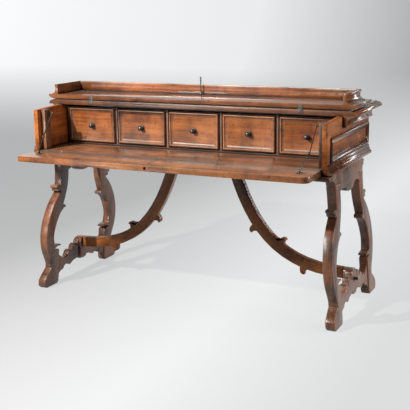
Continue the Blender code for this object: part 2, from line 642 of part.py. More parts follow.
def top_and_lid(root):
    """The fixed rear half of the top and the lid that lies folded back on it."""
    half = outer_half + TOP_END_OVERHANG
    edge = nosing(half, top_surface, TOP_THICKNESS)
    outline = edge + [(-x, z) for x, z in reversed(edge)]
    prism("fixed_top", outline, SPLIT_FROM_FRONT, top_back, 1, WALNUT, root)

    axis = (0, lid_axis_y, lid_axis_z)
    lid = pivot("lid_axis", axis, root, math.pi)
    lid_top = -LID_FOLD_GAP / 2
    lid_rear = -LID_EDGE_GAP / 2
    lid_front = -lid_axis_y - TOP_END_OVERHANG
    rings = []
    for x, z in nosing(half, lid_top, LID_THICKNESS):
        front = lid_front + half - x
        rings.append([(-x, lid_rear, z), (x, lid_rear, z), (x, front, z), (-x, front, z)])
    bm = bmesh.new()
    loft(bm, rings)
    finish_object("lid_board", bm, WALNUT, lid)

    under = lid_top - LID_THICKNESS - SEAT_GAP
    skirt_x = outer_half + SKIRT_CLEARANCE
    skirt_y = -lid_axis_y - SKIRT_CLEARANCE
    profile = [(0, 0), *cornice(SKIRT_THICKNESS), (0, SKIRT_HEIGHT)]
    stations = ((-1, False), (-1, True), (1, True), (1, False))
    rings = []
    for side, at_front in stations:
        rings.append([(side * (skirt_x + out), skirt_y - out if at_front else lid_rear, under - drop)
                      for out, drop in profile])
    bm = bmesh.new()
    loft(bm, rings)
    finish_object("lid_skirt", bm, WALNUT, lid)

    hasp_y = FALL_FACE_GAP + FALL_THICKNESS / 2 - lid_axis_y
    hasp_place = (HASP_OFFSET, hasp_y, under - HASP_EYE_RADIUS)
    hasp = pivot("hasp_axis", hasp_place, lid)
    eye = arc((0, 0), HASP_EYE_RADIUS, 0, 330, 11)
    rod = prism("lid_hasp", eye, -HASP_RADIUS * 1.5, HASP_RADIUS * 1.5, 0, IRON, hasp)
    ball = HASP_TIP_RADIUS
    shaft_end = HASP_LENGTH - HASP_EYE_RADIUS - 2 * ball
    shape = [(0, 0), (HASP_RADIUS, 0), (HASP_RADIUS, shaft_end - 3 * ball), (ball, shaft_end - 2 * ball),
             (HASP_RADIUS, shaft_end - ball), (HASP_RADIUS, shaft_end)]
    shape += [(r, shaft_end + ball + up) for r, up in arc((0, 0), ball, -50, 90, 4)]
    combine(rod, turned("lid_hasp_tool", shape, (0, 0, -1), IRON, hasp, (0, 0, 0)), "UNION")

    for side, word in ((-1, "left"), (1, "right")):
        hinge(word + "_lid_hinge", side * (inner_half - LID_HINGE_INSET), root, axis, lid, (0, 0, 0))


def fall_front_board(root):
    """The fall, open and level with the case floor, with its hinges and stays."""
    axis = (0, fall_axis_y, WRITING_HEIGHT)
    fall = pivot("fall_axis", axis, root)
    rear = -FALL_HINGE_GAP / 2
    half = inner_half - FALL_END_GAP
    front = rear - fall_depth
    worn_corner = (half - FALL_CORNER_ROUND, front + FALL_CORNER_ROUND)
    outline = [(half, rear), (-half, rear), (-half, front), *arc(worn_corner, FALL_CORNER_ROUND, -90, 0)]
    board = prism("fall_board", outline, -FALL_THICKNESS, 0, 2, WALNUT, fall)
    slot_half = HASP_TIP_RADIUS + HASP_CLEARANCE
    slot_depth = HASP_LENGTH + HASP_CLEARANCE
    slot = box("hasp_slot_tool", (HASP_OFFSET - slot_half, front - 0.01, -FALL_THICKNESS / 2 - slot_half),
               (HASP_OFFSET + slot_half, front + slot_depth, -FALL_THICKNESS / 2 + slot_half), WALNUT, fall)
    combine(board, slot, "DIFFERENCE")
    for side, word in ((-1, "left"), (1, "right")):
        hinge(word + "_fall_hinge", side * (inner_half - FALL_HINGE_INSET), root, axis, fall, (0, 0, 0))
        stay(side, word, root, fall)


def link(name, length, parent, place, turn, lean=0.0):
    """A flat bar with an eye at each end, hanging down from its pivot; lean shifts the far eye in x."""
    half_bar = math.degrees(math.asin(LINK_WIDTH / 2 / EYE_RADIUS))
    near = arc((0, 0), EYE_RADIUS, -90 + half_bar, 270 - half_bar, 9)
    far = arc((0, -length), EYE_RADIUS, 90 + half_bar, 450 - half_bar, 9)
    bm = bmesh.new()
    rings = []
    for level in (-LINK_THICKNESS / 2, LINK_THICKNESS / 2):
        rings.append([(level, y, z) for y, z in near] + [(level + lean, y, z) for y, z in far])
    loft(bm, rings)
    return finish_object(name, bm, IRON, parent, place, turn)


def stay(side, word, root, fall):
    """Two iron links from the stop batten to a foot on the fall, nearly straight when it is open."""
    up_y, up_z = stay_pivot
    foot_y, foot_z = -STAY_FOOT_REACH, STAY_FOOT_RISE
    span = math.hypot(up_y - fall_axis_y - foot_y, up_z - WRITING_HEIGHT - foot_z)
    upper = span * STAY_SLACK * STAY_UPPER_SHARE
    lower = span * STAY_SLACK - upper
    along = math.atan2(up_y - fall_axis_y - foot_y, up_z - WRITING_HEIGHT - foot_z)
    kink = math.acos(min(1, (upper ** 2 + span ** 2 - lower ** 2) / (2 * upper * span)))
    other = math.acos(min(1, (lower ** 2 + span ** 2 - upper ** 2) / (2 * lower * span)))

    place = (side * stay_spread, up_y, up_z)
    bar = link(word + "_stay_upper", upper, root, place, kink - along)
    reach = inner_half - SEAT_GAP - BATTEN_THICKNESS + FLUTE_DEPTH + PIN_DEPTH - stay_spread
    pin = arc((0, 0), STAY_PIN_RADIUS, 0, 330, 11)
    combine(bar, prism(word + "_pin_tool", pin, 0, side * reach, 0, IRON, root, place=place), "UNION")

    elbow_x = stay_spread - LINK_THICKNESS - ELBOW_GAP
    eye_x = stay_foot_spread + LUG_THICKNESS / 2 + ELBOW_GAP + LINK_THICKNESS / 2
    foot_place = (side * eye_x, foot_y, foot_z)
    lean = side * (elbow_x - eye_x)
    arm = link(word + "_stay_lower", lower, fall, foot_place, math.pi - along - other, lean)
    hole = arc((0, 0), STAY_PIN_RADIUS + PIN_CLEARANCE, 0, 330, 11)
    drill = prism(word + "_eye_tool", hole, -0.01, 0.01, 0, IRON, fall, place=foot_place)
    combine(arm, drill, "DIFFERENCE")

    half_lug = LUG_THICKNESS / 2
    low = SEAT_GAP
    lug = [(foot_y - EYE_RADIUS, low)]
    lug += [(foot_y + EYE_RADIUS, low)]
    lug += arc((foot_y, foot_z), EYE_RADIUS, 0, 180, 8)
    foot_x = side * stay_foot_spread
    foot = prism(word + "_stay_foot", lug, foot_x - half_lug, foot_x + half_lug, 0, IRON, fall)
    half_plate = FOOT_PLATE / 2
    plate = box(word + "_foot_plate_tool", (foot_x - half_plate, foot_y - half_plate, low),
                (foot_x + half_plate, foot_y + half_plate, low + LINK_THICKNESS / 2), IRON, fall)
    combine(foot, plate, "UNION")
    foot_pin = arc((foot_y, foot_z), STAY_PIN_RADIUS, 0, 330, 11)
    pin_end = side * (eye_x + LINK_THICKNESS)
    stud = prism(word + "_foot_pin_tool", foot_pin, foot_x, pin_end, 0, IRON, fall)
    combine(foot, stud, "UNION")


def drawers(root):
    """The nest of bays and the drawers in it."""
    wide = inner_half - SEAT_GAP
    low = WRITING_HEIGHT + SEAT_GAP
    high = case_top - SEAT_GAP
    rear = CASE_DEPTH - BACK_THICKNESS - SEAT_GAP
    bank = box("drawer_bank", (-wide, BANK_FRONT, low), (wide, rear, high), DARK_WALNUT, root)
    shade = box("top_board_tool", (-outer_half, BANK_FRONT - 0.01, high - BANK_TOP - DRAWER_GAP / 2),
                (outer_half, BANK_FRONT + BANK_TOP_SETBACK, high + 0.01), DARK_WALNUT, root)
    combine(bank, shade, "DIFFERENCE")
    bay = (2 * (wide - CHEEK_THICKNESS) - (DRAWER_COUNT - 1) * DIVIDER_THICKNESS) / DRAWER_COUNT
    bay_low = low + BANK_FLOOR
    bay_high = high - BANK_TOP
    for i in range(DRAWER_COUNT):
        middle = (i - (DRAWER_COUNT - 1) / 2) * (bay + DIVIDER_THICKNESS)
        name = "drawer_%d" % (i + 1)
        hollow = box(name + "_bay_tool", (middle - bay / 2, BANK_FRONT - 0.01, bay_low),
                     (middle + bay / 2, rear + 0.01, bay_high), DARK_WALNUT, root)
        combine(bank, hollow, "DIFFERENCE")
        drawer(name, middle, bay, (bay_low, bay_high), rear, root)


def drawer(name, middle, bay, levels, rear, root):
    """A moulded front, an open box that stops short of the back, and a knob."""
    bay_low, bay_high = levels
    half = bay / 2 - DRAWER_GAP
    slide = pivot(name + "_slide", (middle, BANK_FRONT, bay_low), root)
    low = (DRAWER_REVEAL - bay / 2, DRAWER_REVEAL)
    high = (bay / 2 - DRAWER_REVEAL, bay_high - bay_low - DRAWER_REVEAL)
    shape = ((0, 0.25), (0.10, 0.25), (0.13, -0.40), (0.20, -0.78), (0.32, -1.0), (0.46, -0.86),
             (0.54, -0.50), (0.58, -0.30), (0.66, -0.28), (0.84, -0.04),
             (1.0, DRAWER_FIELD_SET / DRAWER_FRAME_RISE))
    rings = [rectangle(low, high, 0, 1, DRAWER_FRONT_THICKNESS)]
    rings += [rectangle(low, high, DRAWER_FRAME_WIDTH * across, 1, DRAWER_FRAME_RISE * rise)
              for across, rise in shape]
    bm = bmesh.new()
    loft(bm, rings)
    finish_object(name + "_front", bm, DRAWER_WALNUT, slide)

    bm = bmesh.new()
    bmesh.ops.create_cube(bm, size=1)
    front = DRAWER_FRONT_THICKNESS + SEAT_GAP
    depth = rear - DRAWER_BACK_CLEARANCE - BANK_FRONT - front
    size = Vector((2 * half, depth, DRAWER_BOX_HEIGHT))
    bmesh.ops.scale(bm, vec=size, verts=bm.verts)
    bmesh.ops.translate(bm, vec=(0, front + size.y / 2, SEAT_GAP + size.z / 2), verts=bm.verts)
    lid_face = max(bm.faces, key=lambda face: face.calc_center_median().z)
    bmesh.ops.inset_region(bm, faces=[lid_face], thickness=DRAWER_WALL)
    well = bmesh.ops.extrude_discrete_faces(bm, faces=[lid_face])["faces"][0]
    bmesh.ops.translate(bm, vec=(0, 0, DRAWER_WALL - DRAWER_BOX_HEIGHT), verts=well.verts)
    finish_object(name + "_box", bm, DARK_WALNUT, slide)

    knob = KNOB_RADIUS
    neck = KNOB_REACH - 2 * knob * 0.8
    shape = [(0, 0), (knob * 0.75, 0), (knob * 0.75, neck * 0.3), (knob * 0.36, neck * 0.45),
             (knob * 0.36, neck * 0.85)]
    shape += [(r, KNOB_REACH - knob * 0.8 + run) for r, run in arc((0, 0), (knob, knob * 0.8), -62, 90, 6)]
    field = DRAWER_FIELD_SET - SEAT_GAP
    turned(name + "_knob", shape, (0, -1, 0), IRON, slide, (0, field, (low[1] + high[1]) / 2 + KNOB_RAISE))


empty_scene()
root = pivot("bureau", (0, -middle_y, 0))
for side, word in ((-1, "left"), (1, "right")):
    trestle(side, word, root)
    brace(side, word, root)
case(root)
drawers(root)
top_and_lid(root)
fall_front_board(root)
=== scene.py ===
"""A walnut writing bureau on two lyre trestles, standing open in a plain pale studio."""
import json
import math

import bpy
from mathutils import Matrix, Vector

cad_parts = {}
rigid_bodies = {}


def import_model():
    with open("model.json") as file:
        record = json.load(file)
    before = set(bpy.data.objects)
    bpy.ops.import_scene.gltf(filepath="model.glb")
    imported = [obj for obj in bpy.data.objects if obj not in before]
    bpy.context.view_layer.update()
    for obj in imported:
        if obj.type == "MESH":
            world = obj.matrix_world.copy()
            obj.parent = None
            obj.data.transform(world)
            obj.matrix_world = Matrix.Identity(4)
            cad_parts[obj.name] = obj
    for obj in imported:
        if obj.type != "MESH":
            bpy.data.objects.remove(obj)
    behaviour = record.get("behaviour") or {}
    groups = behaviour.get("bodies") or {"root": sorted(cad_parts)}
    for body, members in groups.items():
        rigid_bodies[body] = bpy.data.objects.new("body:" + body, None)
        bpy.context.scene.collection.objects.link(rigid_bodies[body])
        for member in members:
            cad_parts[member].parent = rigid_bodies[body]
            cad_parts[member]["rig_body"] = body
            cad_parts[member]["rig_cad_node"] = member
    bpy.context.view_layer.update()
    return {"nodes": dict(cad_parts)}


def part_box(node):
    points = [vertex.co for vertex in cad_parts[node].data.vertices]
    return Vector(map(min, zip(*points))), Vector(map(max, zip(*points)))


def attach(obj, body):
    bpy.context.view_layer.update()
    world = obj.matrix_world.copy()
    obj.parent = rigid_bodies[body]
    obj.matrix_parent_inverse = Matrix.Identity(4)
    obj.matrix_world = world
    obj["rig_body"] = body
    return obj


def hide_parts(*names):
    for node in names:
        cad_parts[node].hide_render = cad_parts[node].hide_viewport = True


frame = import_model()
nodes = frame["nodes"]

# The camera stands to the right of the sitter, a little higher than the open lid, and looks
# down at the case through a long lens. It leans a little, as the photograph does.
CAMERA_PLACE = Vector((1.94024, -3.92867, 1.49057))
CAMERA_TURN = math.radians(25.6889)
CAMERA_DIP = math.radians(13.0365)
CAMERA_ROLL = math.radians(-0.7936)
FRAME_PIXELS = 410
FOCAL_PIXELS = 874.23
SENSOR_WIDTH = 36

camera_data = bpy.data.cameras.new("camera")
camera_data.sensor_width = SENSOR_WIDTH
camera_data.lens = FOCAL_PIXELS * SENSOR_WIDTH / FRAME_PIXELS
camera = bpy.data.objects.new("camera", camera_data)
bpy.context.scene.collection.objects.link(camera)
camera.matrix_world = (Matrix.Translation(CAMERA_PLACE) @ Matrix.Rotation(CAMERA_TURN, 4, "Z")
                       @ Matrix.Rotation(math.pi / 2 - CAMERA_DIP, 4, "X")
                       @ Matrix.Rotation(CAMERA_ROLL, 4, "Z"))
bpy.context.scene.camera = camera

# Trestles: two lyres of thick walnut plank, sawn to shape, with carved cuffs and spurs. Each has
# two legs, a crown board under the case and a cross stretcher, pegged together and waxed.
# Their edges are rounded by wear and their wax is thin on the edges. Their corners are darkened,
# partly as dark wax and partly as painted shade.


def plug(tree, socket, value):
    """Links a socket to another one, or sets it to a plain value."""
    if isinstance(value, bpy.types.NodeSocket):
        tree.links.new(value, socket)
    else:
        socket.default_value = value


def feed(tree, node, **sockets):
    """Sets or links a node's inputs; underscores stand for spaces in their names."""
    for name, value in sockets.items():
        plug(tree, node.inputs[name.replace("_", " ")], value)


def add_node(tree, kind, **sockets):
    """A shader node with its inputs set or linked."""
    made = tree.nodes.new("ShaderNode" + kind)
    feed(tree, made, **sockets)
    return made


def add_group(tree, group, **sockets):
    """A shader group, placed in a finish with its inputs set or linked."""
    made = tree.nodes.new("ShaderNodeGroup")
    made.node_tree = group
    feed(tree, made, **sockets)
    return made


def sum_of(tree, operation, first, second=0.0, clamp=False):
    """The output of a Math node on one or two numbers or sockets."""
    made = tree.nodes.new("ShaderNodeMath")
    made.operation = operation
    made.use_clamp = clamp
    plug(tree, made.inputs[0], first)
    plug(tree, made.inputs[1], second)
    return made.outputs[0]


def plus(tree, first, second):
    return sum_of(tree, "ADD", first, second)


def times(tree, first, second):
    return sum_of(tree, "MULTIPLY", first, second)


def vector_sum(tree, operation, first, second):
    """A Vector Math node on two vectors or sockets."""
    made = tree.nodes.new("ShaderNodeVectorMath")
    made.operation = operation
    plug(tree, made.inputs[0], first)
    plug(tree, made.inputs[1], second)
    return made


def spread(tree, value, low, high, out_low=0.0, out_high=1.0):
    """A value mapped from one range to another, and kept inside it."""
    return add_node(tree, "MapRange", Value=value, From_Min=low, From_Max=high, To_Min=out_low,
                    To_Max=out_high).outputs[0]


def blend_of(tree, kind, share, first, second):
    """The colour from a Mix node; kind is its blend type."""
    made = tree.nodes.new("ShaderNodeMix")
    made.data_type = "RGBA"
    made.blend_type = kind
    plug(tree, made.inputs[0], share)
    for index, colour in ((6, first), (7, second)):
        plug(tree, made.inputs[index], (*colour, 1) if isinstance(colour, tuple) else colour)
    return made.outputs[2]


def clouds(tree, place, scale, detail, roughness=0.5):
    """The value of a Noise texture."""
    return add_node(tree, "TexNoise", Vector=place, Scale=scale, Detail=detail,
                    Roughness=roughness).outputs[0]


def own_place(tree):
    """The place on the piece, in metres."""
    return tree.nodes.new("ShaderNodeTexCoord").outputs["Object"]


def new_group(name, inputs, outputs):
    """An empty shader group with named sockets: its tree, and its input and output nodes."""
    tree = bpy.data.node_groups.new(name, "ShaderNodeTree")
    kinds = {"value": "NodeSocketFloat", "colour": "NodeSocketColor", "vector": "NodeSocketVector"}
    for way, sockets in (("INPUT", inputs), ("OUTPUT", outputs)):
        for socket, kind in sockets.items():
            tree.interface.new_socket(socket, in_out=way, socket_type=kinds[kind])
    return tree, tree.nodes.new("NodeGroupInput"), tree.nodes.new("NodeGroupOutput")


# How often each pattern of the grain comes in a metre, along it and across it.
WANDER = (2.2, 5, 5)
BANDS = (0.9, 17, 17)
STREAKS = (3.0, 95, 95)
PATCHES = (2.6, 6.0, 6.0)
CURL = (42, 7, 7)
PORES = (26, 640, 640)
REDDENING = (1.4, 9, 9)
PLANE_MARKS = (3.0, 24, 24)
# How far the grain wanders, what each pattern adds to its tone, and what pores and planing do.
WANDER_REACH = (0, 0.05, 0.05)
STREAK_SHARE = 0.36
PATCH_SHARE = 0.36
BAND_SHARE = 0.34
CURL_SHARE = 0.12
RED_TINT = (1.0, 0.70, 0.52)
RED_MOST = 0.5
PORE_TINT = (0.30, 0.22, 0.18)
PORE_SHADE = 0.45
DULL_PATCH = 0.12
DULL_PORE = 0.12
STREAK_RISE = 0.5
PLANE_RISE = 3.0


def grain_group():
    """Walnut: bands, streaks, curl and pores along the first axis of the vector, in metres."""
    tree, given, made = new_group(
        "walnut_grain", {"Vector": "vector", "Dark": "colour", "Light": "colour"},
        {"Color": "colour", "Roughness": "value", "Height": "value"})

    def stretched(vector, repeats):
        return vector_sum(tree, "MULTIPLY", vector, repeats).outputs["Vector"]

    place = given.outputs["Vector"]
    wander = add_node(tree, "TexNoise", Vector=stretched(place, WANDER), Scale=1.0)
    along = vector_sum(tree, "ADD", place, stretched(wander.outputs["Color"], WANDER_REACH))

    def noise(repeats, detail=2.0, roughness=0.55):
        return clouds(tree, stretched(along.outputs["Vector"], repeats), 1.0, detail, roughness)

    band = spread(tree, noise(BANDS), 0.34, 0.66)
    streak = spread(tree, noise(STREAKS, 5.0, 0.65), 0.30, 0.72)
    patch_noise = noise(PATCHES, 3.0)
    patch = spread(tree, patch_noise, 0.30, 0.70)
    curl = spread(tree, noise(CURL), 0.32, 0.68)
    pore = spread(tree, noise(PORES), 0.60, 0.74)
    tone = times(tree, streak, STREAK_SHARE)
    for pattern, share in ((patch, PATCH_SHARE), (band, BAND_SHARE), (curl, CURL_SHARE)):
        tone = plus(tree, tone, times(tree, pattern, share))
    tone = spread(tree, tone, 0.24, 0.80)
    colour = blend_of(tree, "MIX", tone, given.outputs["Dark"], given.outputs["Light"])
    red = spread(tree, noise(REDDENING), 0.46, 0.70, 0.0, RED_MOST)
    colour = blend_of(tree, "MULTIPLY", red, colour, RED_TINT)
    colour = blend_of(tree, "MULTIPLY", times(tree, pore, PORE_SHADE), colour, PORE_TINT)
    rough = spread(tree, patch_noise, 0.36, 0.68, 0.0, DULL_PATCH)
    rough = plus(tree, rough, times(tree, pore, DULL_PORE))
    height = sum_of(tree, "SUBTRACT", times(tree, streak, STREAK_RISE), pore)
    height = plus(tree, height, times(tree, noise(PLANE_MARKS, 1.0), PLANE_RISE))
    feed(tree, made, Color=colour, Roughness=rough, Height=height)
    return tree


WORN_RADIUS = 0.004
CORNER_REACH = 0.016
EDGE_SAMPLES = 4
CORNER_SAMPLES = 6
RUBS = 26.0
SPECKS = 75.0
STAINS = 4.5
BARE_WOOD = (0.20, 0.105, 0.05)
# The tint of darkened corners and grooves: dark wax and painted shade.
WAX_AND_SHADE_TINT = (0.12, 0.08, 0.06)
SPECK_TINT = (0.20, 0.14, 0.10)
SPECK_SHADE = 0.7
STAIN_TINT = (0.42, 0.36, 0.32)
STAIN_SHADE = 0.9
DULLING = 0.22


def age_and_shade_group():
    """Wax and wear: bare wood on the edges, corners and grooves darkened as dark wax and painted
    shade, and stains and specks.
    """
    tree, given, made = new_group(
        "age_wear_and_shade",
        {"Color": "colour", "Roughness": "value", "Wear": "value", "Grime": "value"},
        {"Color": "colour", "Roughness": "value"})
    place = own_place(tree)
    rounded = add_node(tree, "Bevel", Radius=WORN_RADIUS)
    rounded.samples = EDGE_SAMPLES
    flat = tree.nodes.new("ShaderNodeNewGeometry")
    facing = vector_sum(tree, "DOT_PRODUCT", rounded.outputs[0], flat.outputs["Normal"])
    edge = spread(tree, facing.outputs["Value"], 0.995, 0.86)
    edge = times(tree, edge, spread(tree, clouds(tree, place, RUBS, 4.0, 0.65), 0.38, 0.62))
    edge = times(tree, edge, given.outputs["Wear"])
    # Occlusion darkens corners and grooves: partly dark wax, partly painted shade.
    corner = add_node(tree, "AmbientOcclusion", Distance=CORNER_REACH)
    corner.samples = CORNER_SAMPLES
    dark_wax_and_shade = times(tree, spread(tree, corner.outputs["AO"], 0.97, 0.50), given.outputs["Grime"])
    speck = spread(tree, clouds(tree, place, SPECKS, 2.0), 0.60, 0.72)
    speck = times(tree, speck, SPECK_SHADE)
    stain = spread(tree, clouds(tree, place, STAINS, 4.0, 0.6), 0.46, 0.64)
    stain = times(tree, stain, STAIN_SHADE)
    colour = blend_of(tree, "SCREEN", edge, given.outputs["Color"], BARE_WOOD)
    for share, tint in ((stain, STAIN_TINT), (dark_wax_and_shade, WAX_AND_SHADE_TINT), (speck, SPECK_TINT)):
        colour = blend_of(tree, "MULTIPLY", share, colour, tint)
    rough = plus(tree, given.outputs["Roughness"], times(tree, edge, DULLING))
    rough = sum_of(tree, "ADD", rough, times(tree, dark_wax_and_shade, DULLING), clamp=True)
    feed(tree, made, Color=colour, Roughness=rough)
    return tree


def new_finish(name):
    """A new material: itself, its node tree and its shader."""
    finish = bpy.data.materials.new(name)
    finish.use_nodes = True
    return finish, finish.node_tree, finish.node_tree.nodes["Principled BSDF"]


walnut_grain = grain_group()
age_wear_and_shade = age_and_shade_group()
ALONG_X = (0, 0, 0)
ALONG_Y = (0, 0, math.radians(90))
ALONG_Z = (0, math.radians(90), 0)
GRAIN_DEPTH = 0.0006
CURVE_RADIUS = 0.6


# One value sets how dark corners and grooves grow, as dark wax and painted shade.
def walnut(name, turn, dark, light, gloss=0.26, wear=0.8, wax_and_shade=0.8, shift=(0, 0.16, 0.21),
           bump=0.35, bend=None, dust=0.0, shine=0.5, uneven=1.0):
    """A waxed walnut finish; turn brings the run of the grain to the first axis, and bend is the
    middle, in x and z, of a curve that the grain follows instead."""
    finish, tree, shader = new_finish(name)
    place = own_place(tree)
    if bend:
        parts = add_node(tree, "SeparateXYZ", Vector=place)
        out = sum_of(tree, "SUBTRACT", parts.outputs["X"], bend[0])
        up = sum_of(tree, "SUBTRACT", parts.outputs["Z"], bend[1])
        round_curve = times(tree, sum_of(tree, "ARCTAN2", out, up), CURVE_RADIUS)
        squares = plus(tree, times(tree, out, out), times(tree, up, up))
        place = add_node(tree, "CombineXYZ", X=round_curve, Y=parts.outputs["Y"],
                         Z=sum_of(tree, "SQRT", squares)).outputs[0]
    laid = add_node(tree, "Mapping", Vector=place, Rotation=turn, Location=shift)
    grain = add_group(tree, walnut_grain, Vector=laid.outputs[0], Dark=(*dark, 1),
                      Light=(*light, 1))
    rough = plus(tree, times(tree, grain.outputs["Roughness"], uneven), gloss)
    age = add_group(tree, age_wear_and_shade, Color=grain.outputs["Color"], Roughness=rough, Wear=wear,
                    Grime=wax_and_shade)
    relief = add_node(tree, "Bump", Height=grain.outputs["Height"], Strength=bump,
                      Distance=GRAIN_DEPTH)
    feed(tree, shader, Base_Color=age.outputs["Color"], Roughness=age.outputs["Roughness"],
         Normal=relief.outputs[0], Sheen_Weight=dust, Specular_IOR_Level=shine)
    return finish


def select_only(piece):
    """Leaves one object selected and active, as every operator here expects."""
    bpy.ops.object.select_all(action="DESELECT")
    piece.select_set(True)
    bpy.context.view_layer.objects.active = piece


def edit_whole():
    """Opens the active piece in edit mode with all of it selected."""
    bpy.ops.object.mode_set(mode="EDIT")
    bpy.ops.mesh.select_all(action="SELECT")


def pick_edges(piece, chosen):
    """Leaves only the edges selected, in edit mode, whose middle passes a test."""
    bpy.ops.mesh.select_all(action="DESELECT")
    bpy.ops.object.mode_set(mode="OBJECT")
    for line in piece.data.edges:
        ends = [piece.data.vertices[i].co for i in line.vertices]
        line.select = chosen((ends[0] + ends[1]) / 2)
    bpy.ops.object.mode_set(mode="EDIT")
    bpy.ops.mesh.select_mode(type="EDGE")


def settle(piece, body, slot, finish, *stands_for):
    """Gives a finished piece its material and body, and hides the solids that it stands for; the
    slot is not used.
    """
    piece.data.materials.clear()
    piece.data.materials.append(finish)
    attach(piece, body)
    if stands_for:
        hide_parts(*stands_for)


SAME_POINT = 0.00001
FLAT_WITHIN = math.radians(0.4)
SHARP_FROM = math.radians(34)
SMOOTH_UP_TO = math.radians(38)
EDGE_STEPS = 2
EASED_EDGE = 0.0065
EASED_STEPS = 4


def worn(node, slot, finish, edge, eased=None):
    """A copy of a solid whose sharp edges are rounded over, which stands for it. The edges that the
    test eased picks by their middle are rounded further."""
    solid = nodes[node]
    select_only(solid)
    bpy.ops.object.duplicate()
    piece = bpy.context.object
    piece.name = node + "_waxed"
    del piece["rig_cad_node"]
    bpy.ops.mesh.customdata_custom_splitnormals_clear()
    edit_whole()
    bpy.ops.mesh.remove_doubles(threshold=SAME_POINT)
    bpy.ops.mesh.dissolve_limited(angle_limit=FLAT_WITHIN)
    if eased:
        pick_edges(piece, eased)
        bpy.ops.mesh.bevel(offset=EASED_EDGE, segments=EASED_STEPS)
    bpy.ops.object.mode_set(mode="OBJECT")
    rounding = piece.modifiers.new("rounding", "BEVEL")
    rounding.width = edge
    rounding.segments = EDGE_STEPS
    rounding.limit_method = "ANGLE"
    rounding.angle_limit = SHARP_FROM
    bpy.ops.object.modifier_apply(modifier=rounding.name)
    bpy.ops.object.shade_smooth_by_angle(angle=SMOOTH_UP_TO)
    settle(piece, solid["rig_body"], slot, finish, node)
    return piece


SIDES = {"left": -1, "right": 1}
PLANK_EDGE = 0.002
trestle_walnut = walnut("trestle_walnut", ALONG_Z, (0.040, 0.014, 0.007), (0.24, 0.092, 0.038),
                        gloss=0.24, dust=0.16)
for word in SIDES:
    for part in ("front_leg", "rear_leg", "crown", "stretcher"):
        worn(word + "_" + part, "walnut", trestle_walnut, PLANK_EDGE)

# Braces: one curved walnut plank on each side, from the boss of a stretcher up to the case's
# floor, with three carved hooks. The grain follows the curve. The narrow edges that look towards
# the room's right, above a set height, are painted pale as a painted highlight, with a dusty sheen.
BRACE_MIDDLE = (0.764, 0.77)
SIDEWAYS = 0.3
HIGHLIGHT_ABOVE = 0.36


def second_finish(piece, finish, chosen):
    """Gives the faces that a test picks a finish of their own."""
    piece.data.materials.append(finish)
    last = len(piece.data.materials) - 1
    for face in piece.data.polygons:
        if chosen(face):
            face.material_index = last


# Faces towards the lamps on the right, above a set height, take the painted highlight.
def painted_highlight_edge(face):
    return (face.normal.x > SIDEWAYS and abs(face.normal.y) < SIDEWAYS
            and face.center.z > HIGHLIGHT_ABOVE)


for word, side in SIDES.items():
    curve = (side * BRACE_MIDDLE[0], BRACE_MIDDLE[1])
    brace_walnut = walnut(word + "_brace_walnut", ALONG_X, (0.040, 0.014, 0.006),
                          (0.31, 0.112, 0.034), gloss=0.30, shine=0.2, bend=curve)
    # A pale walnut for the painted highlight on those edges.
    painted_highlight_walnut = walnut(word + "_painted_highlight_walnut", ALONG_X, (0.10, 0.048, 0.028),
                           (0.50, 0.30, 0.20), gloss=0.30, dust=0.3, bump=0.04, uneven=0.3,
                           bend=curve)
    brace = worn(word + "_brace", "walnut", brace_walnut, PLANK_EDGE)
    second_finish(brace, painted_highlight_walnut, painted_highlight_edge)

# Bolts: a forged iron rod with a ball end ties each brace to its boss, over a round washer. The
# iron is black with scale, brown with rust in patches, and marked all over by the hammer.
IRON_EDGE = 0.0004
BLACK_SCALE = (0.030, 0.029, 0.027)
WORN_SCALE = (0.125, 0.12, 0.11)
RUST = (0.070, 0.034, 0.018)
HAMMER_MARKS = 160.0
HAMMER_STRENGTH = 0.4
HAMMER_DEPTH = 0.0008
RUST_PATCHES = 55.0
DULL_RUST = 0.25


def iron_group():
    """Old iron: black scale with brown rust in patches, and hammer marks."""
    tree, given, made = new_group("iron_skin", {"Rust": "value"},
                                  {"Color": "colour", "Roughness": "value", "Height": "value"})
    place = own_place(tree)
    marks = clouds(tree, place, HAMMER_MARKS, 4.0, 0.6)
    rust = spread(tree, clouds(tree, place, RUST_PATCHES, 5.0, 0.65), 0.46, 0.66)
    rust = times(tree, rust, given.outputs["Rust"])
    black = blend_of(tree, "MIX", marks, BLACK_SCALE, WORN_SCALE)
    rough = plus(tree, spread(tree, marks, 0.3, 0.7, 0.24, 0.42), times(tree, rust, DULL_RUST))
    feed(tree, made, Color=blend_of(tree, "MIX", rust, black, RUST), Roughness=rough, Height=marks)
    return tree


iron_skin = iron_group()


def iron(name, rust, metal=0.75):
    """Forged iron with its own amount of rust and bare metal."""
    finish, tree, shader = new_finish(name)
    skin = add_group(tree, iron_skin, Rust=rust)
    relief = add_node(tree, "Bump", Height=skin.outputs["Height"], Strength=HAMMER_STRENGTH,
                      Distance=HAMMER_DEPTH)
    feed(tree, shader, Base_Color=skin.outputs["Color"], Roughness=skin.outputs["Roughness"],
         Normal=relief.outputs[0], Metallic=metal)
    return finish


old_iron = iron("old_iron", 0.6)
for word in SIDES:
    worn(word + "_brace_bolt", "iron", old_iron, IRON_EDGE)

